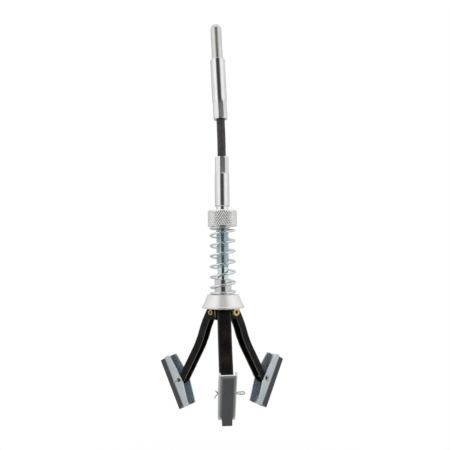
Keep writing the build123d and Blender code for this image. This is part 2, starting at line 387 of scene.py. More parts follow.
@dataclass(frozen=True)
class Finish:
    """A surface finish. Each kind writes its own material.

    Attributes:
        name: the material's name.
        slot: the record's material slot; not used.
        colour: main colour, linear.
    """

    name: str
    slot: str
    colour: Point

    def write(self, graph: ShaderGraph) -> bpy.types.Material:
        """Fills the graph and returns its material."""
        raise NotImplementedError

    def scaled(self, factor: float) -> Point:
        """The main colour made lighter or darker, up to white."""
        return tuple(min(1.0, part * factor) for part in self.colour)

    def material(self) -> bpy.types.Material:
        """The finish's material, made once."""
        found = bpy.data.materials.get(self.name)
        return found or self.write(ShaderGraph(self.name))


@dataclass(frozen=True)
class PlatedSteel(Finish):
    """Zinc, nickel or bright steel with a faint mottle and drawing lines.

    Attributes:
        tint: second colour of the mottle.
        roughness: mean roughness.
        mottle: size of the mottle, features per metre.
        lines: depth of the fine lines, in millimetres.
        along: stretch of the fine lines along X, Y and Z.
        shade: colour of the faces that the mesh marks; inside the stone holder's trough it is painted shade
            and painted reflection.
        rub: how much rougher those faces are.
        grain: number of fine lines per metre.
    """

    tint: Point = (0.6, 0.66, 0.74)
    roughness: float = 0.22
    mottle: float = 260.0
    lines: float = 0.004
    along: Point = (1.0, 1.0, 0.08)
    shade: Point = (0.7, 0.71, 0.69)
    rub: float = 0.0
    grain: float = 5200.0

    def write(self, graph: ShaderGraph) -> bpy.types.Material:
        """Mottled colour, uneven gloss and fine lines."""
        cloud = graph.noise(self.mottle, 4.0)
        grain = graph.noise(self.grain, 2.0, self.along)
        patch = graph.noise(self.mottle * 0.31, 2.0)
        outer = graph.blend(cloud.between(0.35, 0.68), self.colour, self.tint)
        marked = graph.attribute("marked")
        # Marked faces take the shade colour; inside the holder's trough that is painted shade and painted
        # reflection.
        colour = graph.blend(marked * (cloud * 0.4 + 0.8), outer, self.shade)
        dull = patch.between(0.4, 0.7) * 0.07 + grain * 0.06 + marked * self.rub + (self.roughness - 0.06)
        return graph.surface(
            Base_Color=colour,
            Metallic=1.0,
            Roughness=dull,
            Normal=graph.bump(grain, 0.35, self.lines * MM),
        )


@dataclass(frozen=True)
class TurnedMetal(Finish):
    """Lathe-turned metal with rings round the spindle axis.

    Attributes:
        roughness: mean roughness.
        feed: distance between tool marks, in millimetres.
        depth: depth of the tool marks, in millimetres.
        sheen: how metallic it looks away from the spindle.
        painted_groove_shade: painted shade, the colour of the low places such as the knurl's grooves.
        boss: tone of the smooth boss near the spindle, as a share of the main colour.
        boss_edge: the radii between which the boss ends, in millimetres.
    """

    roughness: float = 0.3
    feed: float = 0.16
    depth: float = 0.006
    sheen: float = 0.7
    painted_groove_shade: Point = (0.2, 0.19, 0.17)
    boss: float = 0.83
    boss_edge: Point = (4.6, 5.0)

    def write(self, graph: ShaderGraph) -> bpy.types.Material:
        """Tool marks, a soft mottle and painted shade where the mesh says it is low."""
        x, y, z = graph.axes()
        radius = (x * x + y * y) ** 0.5
        wander = graph.noise(900.0, 2.0)
        marks = ((z + radius * 0.7) / (self.feed * MM) + wander * 0.6).ripple()
        low = graph.attribute("low")
        cloud = graph.noise(330.0, 3.0)
        wide = radius.between(*(edge * MM for edge in self.boss_edge))
        mottled = graph.blend(cloud.between(0.35, 0.65), self.colour, self.scaled(1.06))
        clean = graph.blend(wide, self.scaled(self.boss), mottled)
        # Painted shade: the low places, the knurl's grooves, are darkened and made less metallic.
        colour = graph.blend(low * 0.8, clean, self.painted_groove_shade)
        return graph.surface(
            Base_Color=colour,
            Metallic=1.0 - wide * (1.0 - self.sheen) - low * 0.3,
            Roughness=marks * 0.08 + cloud * 0.08 + wide * (self.roughness - 0.16) + 0.08,
            Normal=graph.bump(marks * wide, 0.5, self.depth * MM),
        )


@dataclass(frozen=True)
class BlackOxide(Finish):
    """Black finished sheet steel, rubbed a little in random patches.

    Attributes:
        rubbed: colour of the rubbed places.
        roughness: mean roughness.
        edge_wear_and_highlight: colour of the edges, where the mesh marks them: worn metal and a painted
            highlight.
    """

    rubbed: Point = (0.075, 0.062, 0.052)
    roughness: float = 0.42
    edge_wear_and_highlight: Point = (0.3, 0.28, 0.26)

    def write(self, graph: ShaderGraph) -> bpy.types.Material:
        """Black with brown clouds, fine speckle, a satin skin and paler edges of wear and painted highlight.
        """
        cloud = graph.noise(160.0, 4.0)
        speck = graph.noise(2600.0, 3.0)
        skin = graph.noise(1500.0, 3.0)
        worn = cloud.between(0.42, 0.72) * 0.7 + speck.between(0.6, 0.78) * 0.5
        edge = graph.attribute("edge")
        base = graph.blend(worn, self.colour, self.rubbed)
        # Paler edges: worn metal and a painted highlight.
        colour = graph.blend(edge * speck.between(0.15, 0.45) * 0.3, base, self.edge_wear_and_highlight)
        return graph.surface(
            Base_Color=colour,
            Metallic=0.0,
            Roughness=skin * 0.16 + (self.roughness - 0.08),
            Specular_IOR_Level=0.22,
            Normal=graph.bump(skin, 0.3, 0.02 * MM),
        )


@dataclass(frozen=True)
class PressedBrass(Finish):
    """Brass with brown tarnish in patches.

    Attributes:
        tarnish: colour of the tarnish.
    """

    tarnish: Point = (0.24, 0.16, 0.07)

    def write(self, graph: ShaderGraph) -> bpy.types.Material:
        """Bright brass with tarnish and soft dents."""
        cloud = graph.noise(900.0, 4.0)
        dents = graph.noise(1800.0, 2.0)
        stain = cloud.between(0.5, 0.78)
        return graph.surface(
            Base_Color=graph.blend(stain * 0.7, self.colour, self.tarnish),
            Metallic=1.0,
            Roughness=stain * 0.2 + 0.24,
            Normal=graph.bump(dents, 0.3, 0.02 * MM),
        )


@dataclass(frozen=True)
class BondedGrit(Finish):
    """Grey abrasive stone: packed grains with pores, browner on its sides next to the holder.

    Attributes:
        foot: colour next to the holder.
        grit: grains per metre.
        pale: tone of the palest grains, as a multiple of the main colour.
        pore: tone of the pores.
        worn: tone of the worn lanes.
        lane: stretch of the worn lanes, along the stone.
    """

    foot: Point = (0.215, 0.2, 0.178)
    grit: float = 5200.0
    pale: float = 1.75
    pore: float = 0.45
    worn: float = 1.4
    lane: Point = (1.0, 1.0, 0.03)

    def write(self, graph: ShaderGraph) -> bpy.types.Material:
        """Grains of different greys, dark pores, lanes worn along the stone and brown on its sides next to
        the holder.
        """
        spots = {"Vector": graph.place, "Scale": self.grit}
        cells = graph.node("ShaderNodeTexVoronoi", {}, spots, "Color")
        tone = graph.node("ShaderNodeSeparateColor", {}, {0: cells})
        pores = graph.noise(3400.0, 3.0)
        cloud = graph.noise(420.0, 3.0)
        foot = graph.attribute("foot")
        grains = graph.blend(tone, self.colour, self.scaled(self.pale))
        holed = graph.blend(pores.between(0.62, 0.7), grains, self.scaled(self.pore))
        along = graph.attribute("shoe_place", "Vector")
        lane = graph.node("ShaderNodeMapping", {}, {"Vector": along, "Scale": self.lane})
        wear = graph.node("ShaderNodeTexNoise", {}, {"Vector": lane, "Scale": 3.2, "Detail": 3.0})
        worn = graph.blend(wear.between(0.35, 0.65), self.colour, self.scaled(self.worn))
        shaded = graph.blend(cloud * 0.3 + 0.35, holed, worn)
        near_foot = (foot + (cloud - 0.5) * 0.3).between(0.05, 0.3)
        rough = tone * 0.6 + pores * 0.4
        return graph.surface(
            Base_Color=graph.blend(near_foot * 0.75, shaded, self.foot),
            Metallic=0.0,
            Roughness=pores * 0.15 + 0.78,
            Normal=graph.bump(rough, 0.7, 0.06 * MM),
        )


@dataclass(frozen=True)
class DarkWire(Finish):
    """Oiled black wire of the flexible cable.

    Attributes:
        oil: tone of the oiled places, as a multiple of the main colour.
        rub: colour of the rubbed places.
    """

    oil: float = 1.5
    rub: Point = (0.16, 0.13, 0.12)

    def write(self, graph: ShaderGraph) -> bpy.types.Material:
        """Nearly black, with brown oil and small bright rubs."""
        oil = graph.noise(700.0, 4.0)
        rubs = graph.noise(4200.0, 2.0)
        base = graph.blend(oil.between(0.4, 0.7), self.colour, self.scaled(self.oil))
        return graph.surface(
            Base_Color=graph.blend(rubs.between(0.62, 0.74) * 0.5, base, self.rub),
            Metallic=0.35,
            Roughness=oil * 0.2 + 0.42,
            Normal=graph.bump(rubs, 0.3, 0.01 * MM),
        )


class Palette(Enum):
    """The finishes of the hone."""

    SHANK = PlatedSteel("ground_steel", "shank_steel", (0.65, 0.65, 0.615), (0.61, 0.61, 0.58), 0.4)
    FERRULE = PlatedSteel(
        "plated_sleeve", "ferrule_steel", (0.69, 0.685, 0.685), (0.66, 0.655, 0.655), 0.17, rub=0.16
    )
    ZINC = PlatedSteel(
        "blue_zinc", "zinc_steel", (0.6, 0.675, 0.69), (0.54, 0.63, 0.66), 0.12, 90.0, 0.001
    )
    # The holder's shade colour, on the trough's inner faces, is painted shade and painted reflection.
    HOLDER = PlatedSteel(
        "holder_zinc", "zinc_steel", (0.8, 0.83, 0.835), (0.66, 0.73, 0.76), 0.36, 120.0, 0.001,
        shade=(0.57, 0.635, 0.675),
    )
    SPRING = PlatedSteel(
        "zinc_wire", "spring_steel", (0.8, 0.84, 0.84), (0.74, 0.8, 0.81), 0.12, 200.0, 0.001
    )
    PIN = PlatedSteel("bright_wire", "pin_steel", (0.78, 0.78, 0.73), (0.66, 0.66, 0.62), 0.34, 600.0)
    # The nut's last colour is painted shade in the knurl's grooves.
    NUT = TurnedMetal(
        "knurled_metal", "nut_steel", (0.8, 0.79, 0.75), 0.2, 0.2, 0.002, 1.0, (0.62, 0.61, 0.58)
    )
    CONE = TurnedMetal("turned_aluminium", "cone_aluminium", (0.8, 0.775, 0.745), 0.4)
    BLACK = BlackOxide(
        "black_oxide", "black_steel", (0.0024, 0.0013, 0.0009), (0.021, 0.0118, 0.0078), 0.34
    )
    BRASS = PressedBrass("brass", "eyelet_brass", (0.76, 0.58, 0.28))
    STONE = BondedGrit("bonded_grit", "abrasive_stone", (0.045, 0.046, 0.049))
    CABLE = DarkWire("oiled_wire", "cable_wire", (0.066, 0.06, 0.058))


@contextmanager
def edited(mesh: bpy.types.Mesh) -> Iterator[bmesh.types.BMesh]:
    """Opens a mesh for editing and writes the result back to it.

    Args:
        mesh: the mesh to edit.

    Yields:
        Its editable form.
    """
    work = bmesh.new()
    work.from_mesh(mesh)
    yield work
    work.to_mesh(mesh)
    work.free()


def store(mesh: bpy.types.Mesh, name: str, domain: str, values: Sequence[float]) -> None:
    """Gives a mesh one named number for each of its points or faces."""
    mesh.attributes.new(name, "FLOAT", domain).data.foreach_set("value", values)


def merged(mesh: bpy.types.Mesh) -> bpy.types.Mesh:
    """Merges doubled points, turns faces outwards and shades smooth up to the sharp edges.

    Args:
        mesh: the mesh to clean.

    Returns:
        The same mesh.
    """
    with edited(mesh) as work:
        bmesh.ops.remove_doubles(work, verts=work.verts, dist=SAME_PLACE)
        bmesh.ops.dissolve_degenerate(work, edges=work.edges, dist=NO_LENGTH)
        bmesh.ops.recalc_face_normals(work, faces=work.faces)
    mesh.shade_smooth()
    mesh.set_sharp_from_angle(angle=SHARP)
    return mesh


def grid_mesh(name: str, points: np.ndarray, loop_rows: bool = False) -> bpy.types.Mesh:
    """Skins a grid of points whose rows are loops.

    Args:
        name: the mesh's name.
        points: array of rows, columns and coordinates, in millimetres.
        loop_rows: joins the last row to the first, in place of a cap on each.

    Returns:
        The merged mesh in metres.
    """
    rows, columns = points.shape[:2]
    faces = []
    for row in range(rows if loop_rows else rows - 1):
        for column in range(columns):
            after = (row + 1) % rows
            beside = (column + 1) % columns
            faces.append([
                row * columns + column,
                row * columns + beside,
                after * columns + beside,
                after * columns + column,
            ])
    if not loop_rows:
        faces.append(list(range(columns)))
        faces.append(list(range((rows - 1) * columns, rows * columns)))
    mesh = bpy.data.meshes.new(name)
    mesh.from_pydata((points.reshape(-1, 3) * MM).tolist(), [], faces)
    return merged(mesh)


def rounded(corners: Sequence[Point], radius: float, closed: bool = False, steps: int = 4) -> list[Point]:
    """Rounds the corners of a plane line.

    Args:
        corners: the line's points.
        radius: distance from each corner at which its curve starts.
        closed: whether the line is a loop.
        steps: straight parts of each curve.

    Returns:
        The rounded line's points.
    """
    points = [np.array(corner, float) for corner in corners]
    count = len(points)
    result = []
    for index, point in enumerate(points):
        if not closed and index in (0, count - 1):
            result.append(tuple(point))
            continue
        before = points[index - 1] - point
        after = points[(index + 1) % count] - point
        reach = min(radius, np.linalg.norm(before) * CORNER_SHARE, np.linalg.norm(after) * CORNER_SHARE)
        start = point + before / np.linalg.norm(before) * reach
        end = point + after / np.linalg.norm(after) * reach
        result.append(tuple(start + (start - point) * CORNER_LEAD))
        for step in range(steps + 1):
            t = step / steps
            result.append(tuple((1 - t) ** 2 * start + 2 * t * (1 - t) * point + t * t * end))
        result.append(tuple(end + (end - point) * CORNER_LEAD))
    return result


def lathe(
    name: str,
    profile: Sequence[Point],
    closed: bool = False,
    segments: int = 64,
    shape: Optional[Callable[[np.ndarray, np.ndarray, np.ndarray], np.ndarray]] = None,
) -> bpy.types.Mesh:
    """Turns a profile round Z.

    Args:
        name: the mesh's name.
        profile: points of radius and height, in millimetres.
        closed: whether the profile is a loop.
        segments: columns round the axis.
        shape: gives the radius from angle, radius and height where the piece isn't round.

    Returns:
        The mesh in metres.
    """
    line = np.array(profile, float)
    angle = np.linspace(0, TURN, segments, endpoint=False)[None, :]
    radius = np.repeat(line[:, :1], segments, axis=1)
    height = np.repeat(line[:, 1:], segments, axis=1)
    if shape is not None:
        radius = shape(angle, radius, height)
    points = np.stack([radius * np.cos(angle), radius * np.sin(angle), height], axis=2)
    return grid_mesh(name, points, closed)


def tube(name: str, path: np.ndarray, section: np.ndarray) -> bpy.types.Mesh:
    """Sweeps a section along a path with no twist.

    Args:
        name: the mesh's name.
        path: points of the path, in millimetres.
        section: points of the section across the path, in millimetres.

    Returns:
        The mesh in metres.
    """
    ahead = np.vstack([path[1:], 2 * path[-1] - path[-2]])
    behind = np.vstack([2 * path[0] - path[1], path[:-1]])
    tangents = ahead - behind
    tangents /= np.linalg.norm(tangents, axis=1)[:, None]
    side = np.cross(tangents[0], [0.31, 0.52, 0.79])
    rings = []
    for point, tangent in zip(path, tangents):
        side = side - tangent * side.dot(tangent)
        side /= np.linalg.norm(side)
        other = np.cross(tangent, side)
        rings.append(point + section[:, :1] * side + section[:, 1:] * other)
    return grid_mesh(name, np.array(rings))


def disc(radius: float, sides: int) -> np.ndarray:
    """Round section.

    Args:
        radius: in millimetres.
        sides: number of points.

    Returns:
        The section's points.
    """
    angle = np.linspace(0, TURN, sides, endpoint=False)
    return np.stack([np.cos(angle), np.sin(angle)], axis=1) * radius


def triangulated(work: bmesh.types.BMesh) -> None:
    """Cuts the faces with more than four corners into triangles."""
    bmesh.ops.triangulate(work, faces=[face for face in work.faces if len(face.verts) > 4])


def soft_copy(node: str, width: float) -> bpy.types.Mesh:
    """Copy of a CAD node whose sharp edges are eased and marked.

    Args:
        node: the CAD node.
        width: width of the eased edge, in millimetres.

    Returns:
        The new mesh, with an attribute "edge" that is 1 on the eased edges.
    """
    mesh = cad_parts[node].data.copy()
    with edited(mesh) as work:
        bmesh.ops.remove_doubles(work, verts=work.verts, dist=SAME_PLACE)
        bmesh.ops.dissolve_limit(work, angle_limit=ONE_FACE, verts=work.verts, edges=work.edges)
        layer = work.faces.layers.float.new("edge")
        edges = [e for e in work.edges if len(e.link_faces) == 2 and e.calc_face_angle() > EASED]
        made = bmesh.ops.bevel(
            work, geom=edges, offset=width * MM, offset_type="OFFSET", segments=2, profile=0.5,
            affect="EDGES", clamp_overlap=True,
        )
        for face in made["faces"]:
            face[layer] = 1.0
        triangulated(work)
        for face in work.faces:
            face.smooth = True
        for edge in work.edges:
            marks = {face[layer] for face in edge.link_faces}
            edge.smooth = len(marks) == 1 and edge.calc_face_angle(0.0) < SHARP
    return mesh


def piece(
    name: str,
    mesh: bpy.types.Mesh,
    finish: Palette,
    place: Matrix,
    nodes: Sequence[str],
    body: Optional[str],
) -> bpy.types.Object:
    """Makes a mesh one finished piece of the hone.

    Args:
        name: the piece's name.
        mesh: its mesh, in metres.
        finish: its finish.
        place: where it goes, applied to the mesh.
        nodes: the CAD nodes that it stands for.
        body: the body that it rides on, or None to leave it on no body.

    Returns:
        The new object.
    """
    mesh.transform(place)
    mesh.name = name
    mesh.materials.clear()
    mesh.materials.append(finish.value.material())
    made = shown(name, mesh)
    if body is not None:
        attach(made, body)
    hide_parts(*nodes)
    LOG.info("%s: %d faces, stands for %s", name, len(mesh.polygons), ", ".join(nodes))
    return made


def moved(x: float, y: float, z: float) -> Matrix:
    """Shift by millimetres."""
    return Matrix.Translation(Vector((x, y, z)) * MM)


def turned(angle: float, axis: str) -> Matrix:
    """Turn by degrees about X, Y or Z."""
    return Matrix.Rotation(math.radians(angle), 4, axis)


@dataclass
class DriveLine:
    """Drill shank, two crimped sleeves and the flexible cable between them."""

    bend: float = 2.4
    free: float = 20.92
    mouth_z: float = 83.57
    seat: float = 12.0
    cable_d: float = 4.65
    core_d: float = 2.8
    strands: int = 8
    strand_lay: float = 5.2
    shank_d: float = 6.0
    shank_length: float = 20.04
    tail_d: float = 5.0
    shank_end: float = 0.5
    shank_chamfer: Point = (1.1, 2.0)
    upper: Point = (8.05, 7.3, 33.47, 9.76, 3.4)
    lower: Point = (7.93, 7.15, 27.03, 9.17, 0.7)
    facets: int = 8
    ring_length: float = 0.9
    ring_flare: float = 0.35
    ring_fade: float = 0.3
    skin: float = 0.2
    mouth_depth: float = 1.5
    end_chamfer: float = 0.3
    neck_d: float = 6.54
    upper_facing: float = -84.0
    lower_facing: float = 85.0
    core_wires: int = 5
    steps_per_lay: int = 26
    wire_inset: float = 0.3
    wire_swell: float = 1.06

    def __post_init__(self) -> None:
        """Works out the bend of the cable."""
        self.turn = math.radians(self.bend)
        self.arc = self.free / self.turn
        shift = -self.arc * (1 - math.cos(self.turn))
        rise = self.mouth_z + self.arc * math.sin(self.turn)
        self.top = moved(shift, 0, rise) @ turned(-self.bend, "Y")

    def sleeve(self, name: str, sizes: Point, rod_d: float, facing: float) -> bpy.types.Mesh:
        """One sleeve with its cable mouth at the origin.

        Args:
            name: the mesh's name.
            sizes: body diameter, crimp across its flats, length, crimp length and length of the shoulder.
            rod_d: diameter of the rod in its other end.
            facing: angle of the middle of one flat.

        Returns:
            The mesh.
        """
        body_d, flats, length, crimp, shoulder = sizes
        step = TURN / self.facets

        def crimped(angle: np.ndarray, radius: np.ndarray, height: np.ndarray) -> np.ndarray:
            """Cuts the flats of the crimp into the round body."""
            off = (angle - math.radians(facing) + step / 2) % step - step / 2
            flat = flats / 2 / np.cos(off)
            t = np.clip((crimp + shoulder / 2 - height) / shoulder, 0, 1)
            depth = t * t * (3 - 2 * t) * np.maximum(radius - flat, 0)
            lip = np.clip((self.ring_length - height) / self.ring_fade, 0, 1)
            outer = radius > flats / 2 - self.skin
            return np.where(outer, radius - depth * (1 - lip), radius)

        bore, body, rod = self.cable_d / 2 + 0.05, body_d / 2, rod_d / 2
        flare = body - self.ring_flare
        profile = rounded([(bore, self.mouth_depth), (bore, 0.0), (flare, 0.0)], 0.15)
        profile += [(flare, 0.0), (body, self.ring_length)]
        profile += [(body, z) for z in np.linspace(self.ring_length + 0.01, length - 0.5, 90)]
        profile += rounded([
            (body, length - 0.4), (body - self.end_chamfer, length),
            (rod + 0.02, length), (rod, length - 1),
        ], 0.12)
        floor = length - self.mouth_depth
        profile += [(rod, floor), (0, floor), (0, self.mouth_depth)]
        mesh = lathe(name, profile, segments=96, shape=crimped)
        shares = ((crimp + shoulder / 2 - vertex.co.z / MM) / shoulder for vertex in mesh.vertices)
        store(mesh, "marked", "POINT", [min(max(share, 0.0), 1.0) for share in shares])
        return mesh

    def winding(self, name: str, from_z: float, to_z: float, reach: float, wires: int) -> bpy.types.Mesh:
        """A length of helical wires, straight, round Z.

        Args:
            name: the tree's name.
            from_z: start along the cable, in millimetres.
            to_z: end along the cable, in millimetres.
            reach: radius of the outside.
            wires: number of wires side by side.

        Returns:
            The mesh, still straight.
        """
        lay = self.strand_lay * reach / (self.cable_d / 2)
        middle = reach - self.wire_inset
        thick = math.pi * middle / wires * math.cos(math.atan(TURN * middle / lay))
        rule = GeometryRule(name, {
            "From": from_z * MM,
            "To": to_z * MM,
            "Outer radius": reach * MM,
            "Wire radius": thick * self.wire_swell * MM,
            "Lay": lay * MM,
            "Wires": wires,
            "Steps": int(abs(to_z - from_z) / lay * self.steps_per_lay) + 2,
        })
        line = rule.node("GeometryNodeCurvePrimitiveLine", {}, {"End": (0.0, 0.0, 1.0)})
        dense = rule.node("GeometryNodeResampleCurve", {}, {"Curve": line, "Count": rule.size("Steps")})
        along = rule.node("GeometryNodeSplineParameter", {}, {})
        height = along * (rule.size("To") - rule.size("From")) + rule.size("From")
        angle = height / rule.size("Lay") * TURN
        spot = rule.polar(rule.size("Outer radius") - rule.size("Wire radius"), angle, height)
        helix = rule.node("GeometryNodeSetPosition", {}, {"Geometry": dense, "Position": spot})
        ring = rule.node(
            "GeometryNodeCurvePrimitiveCircle", {}, {"Resolution": 7, "Radius": rule.size("Wire radius")}
        )
        wire = rule.node(
            "GeometryNodeCurveToMesh", {}, {"Curve": helix, "Profile Curve": ring, "Fill Caps": True}
        )
        spots = rule.node("GeometryNodePoints", {}, {"Count": rule.size("Wires"), "Radius": 0.001})
        index = rule.node("GeometryNodeInputIndex", {}, {})
        spin = rule.vector(0.0, 0.0, index / rule.size("Wires") * TURN)
        all_wires = rule.node(
            "GeometryNodeInstanceOnPoints", {}, {"Points": spots, "Instance": wire, "Rotation": spin}
        )
        return rule.made(all_wires, Palette.CABLE.value.material())

    def bent(self, mesh: bpy.types.Mesh) -> bpy.types.Mesh:
        """Lays a straight mesh, measured along the cable, on the bent cable.

        Args:
            mesh: mesh round Z whose height 0 is the mouth of the lower sleeve.

        Returns:
            The same mesh, bent.
        """
        points = np.array([v.co for v in mesh.vertices]) / MM
        out, side, along = points.T
        angle = np.clip(along, 0, self.free) / self.arc
        sine, cosine = np.sin(angle), np.cos(angle)
        beyond = along - angle * self.arc
        x = -self.arc * (1 - cosine) - sine * beyond + cosine * out
        z = self.mouth_z + self.arc * sine + cosine * beyond + sine * out
        placed = np.stack([x, side, z], axis=1) * MM
        mesh.vertices.foreach_set("co", placed.ravel())
        mesh.update()
        return mesh

    def build(self) -> None:
        """Makes and dresses the pieces of the drive line."""
        sleeve_end = self.upper[2]
        top = sleeve_end + self.shank_length - self.shank_end
        radius, tail = self.shank_d / 2, self.tail_d / 2
        inset, drop = self.shank_chamfer
        shank = lathe("drill_shank_ground", rounded([
            (0, sleeve_end - 3), (tail, sleeve_end - 3), (tail, sleeve_end), (radius, sleeve_end + 0.02),
            (radius, top - drop), (radius - inset, top), (0, top),
        ], 0.25))
        piece("drill_shank_ground", shank, Palette.SHANK, self.top, ["drill_shank"], "drive_end")
        upper = self.sleeve("sleeve_upper", self.upper, self.tail_d, self.upper_facing)
        piece("sleeve_upper", upper, Palette.FERRULE, self.top, ["upper_ferrule"], "drive_end")
        lower = self.sleeve("sleeve_lower", self.lower, self.neck_d, self.lower_facing)
        flip = moved(0, 0, self.mouth_z) @ turned(180, "X")
        piece("sleeve_lower", lower, Palette.FERRULE, flip, ["lower_ferrule"], "spindle_body")
        middle = self.free / 2
        layers = (("winding", self.cable_d, self.strands), ("core", self.core_d, self.core_wires))
        halves = (
            ("upper", middle, self.free + self.seat, "drive_end", "cable", self.free, middle),
            ("lower", -self.seat, middle, "cable", "spindle_body", middle, 0.0),
        )
        for half, low, high, first, second, start, end in halves:
            for part, diameter, wires in layers:
                name = f"cable_{part}_{half}"
                mesh = self.bent(self.winding(name, low, high, diameter / 2, wires))
                made = piece(name, mesh, Palette.CABLE, Matrix(), [f"cable_{part}"], None)
                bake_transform(made)


@dataclass
class Spindle:
    """Threaded rod with neck, stem and riveted tail."""

    sleeve_bottom: float = 56.54
    neck_d: float = 6.54
    nut_top: float = 54.4
    thread_d: float = 7.0
    pitch: float = 1.0
    depth: float = 0.54
    thread_bottom: float = 24.0
    stem_d: float = 5.7
    plate_top: float = -2.6
    plate_bottom: float = -3.6
    rivet_d: float = 4.0
    head_d: float = 5.4
    head_height: float = 0.8
    columns: int = 49
    rows_per_turn: int = 10
    crest_gain: float = 1.35
    root_cut: float = 0.12
    run_out: Point = (0.15, 1.1)
    overlap: float = 0.3

    def thread(self) -> bpy.types.Mesh:
        """The helical thread as one skin round the rod."""
        length = self.nut_top - self.thread_bottom
        turns = round(length / self.pitch)
        rule = GeometryRule("spindle_thread", {
            "Crest radius": self.thread_d / 2 * MM,
            "Depth": self.depth * MM,
            "Bottom": self.thread_bottom * MM,
            "Length": length * MM,
            "Turns": float(turns),
            "Columns": self.columns,
            "Rows": turns * self.rows_per_turn + 1,
        })
        grid, around, up = rule.sheet()
        wave = (up * rule.size("Turns") - around).ripple()
        ridge = (wave * self.crest_gain - self.root_cut).between(0.0, 1.0)
        end_ease = (0.5 - abs(up - 0.5)) * rule.size("Turns")
        lift = ridge * end_ease.between(*self.run_out)
        radius = rule.size("Crest radius") - rule.size("Depth") * (1.0 - lift)
        height = rule.size("Bottom") + up * rule.size("Length")
        return rule.made(rule.rolled(grid, around, radius, height), Palette.ZINC.value.material())

    def build(self) -> None:
        """Makes the rod as one mesh: thread, stem, tail and a paler neck."""
        root, overlap = self.thread_d / 2 - self.depth, self.overlap
        neck, stem, rivet, head = self.neck_d / 2, self.stem_d / 2, self.rivet_d / 2, self.head_d / 2
        upper, lower, plate = self.nut_top, self.thread_bottom, self.plate_bottom
        end = plate - self.head_height
        top = lathe("neck", rounded([
            (0, self.sleeve_bottom + 1), (neck, self.sleeve_bottom + 1), (neck, upper), (root, upper),
            (root, upper - overlap), (0, upper - overlap),
        ], 0.1))
        tail = lathe("tail", rounded([
            (0, lower + overlap), (root, lower + overlap), (root, lower), (stem, lower - 0.12),
            (stem, self.plate_top), (rivet, self.plate_top), (rivet, plate), (head, plate),
            (head, plate - self.head_height / 2), (head - 0.7, end), (0, end),
        ], 0.12))
        whole = bpy.data.meshes.new("spindle_rod")
        parts = (self.thread(), top, tail)
        with edited(whole) as joined:
            for part in parts:
                joined.from_mesh(part)
        whole.set_sharp_from_angle(angle=SHARP)
        store(whole, "marked", "FACE", [float(face.center.z > upper * MM) for face in whole.polygons])
        piece("spindle_rod", whole, Palette.ZINC, Matrix(), ["spindle"], "spindle_body")


